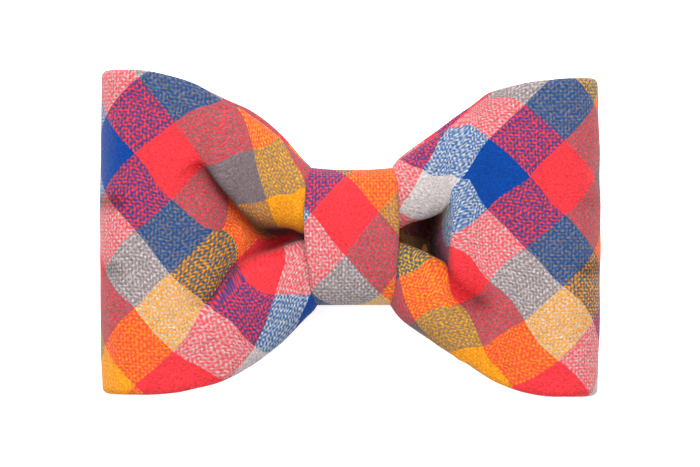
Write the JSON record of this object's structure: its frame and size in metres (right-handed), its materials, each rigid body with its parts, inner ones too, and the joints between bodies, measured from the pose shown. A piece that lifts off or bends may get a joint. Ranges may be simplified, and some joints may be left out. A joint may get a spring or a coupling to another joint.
{
  "type": "pet bow tie",
  "caption": "Padded flannel bow tie for a pet's collar: open loops pinched by a knot band, with an elastic strap behind for the collar.",
  "frame": {"origin": "on the surface that the bow lies on, under the middle of its outline", "axes": "+X along the bow to its right as seen from the front, +Y up the bow, +Z out of its front"},
  "size_m": [0.121, 0.079, 0.0285],
  "materials": {
    "flannel": "brushed yarn-dyed check",
    "elastic": "woven elastic"
  },
  "bodies": {
    "root": {"bow": "flannel", "knot": "flannel", "collar_strap": "elastic"}
  },
  "joints": []
}
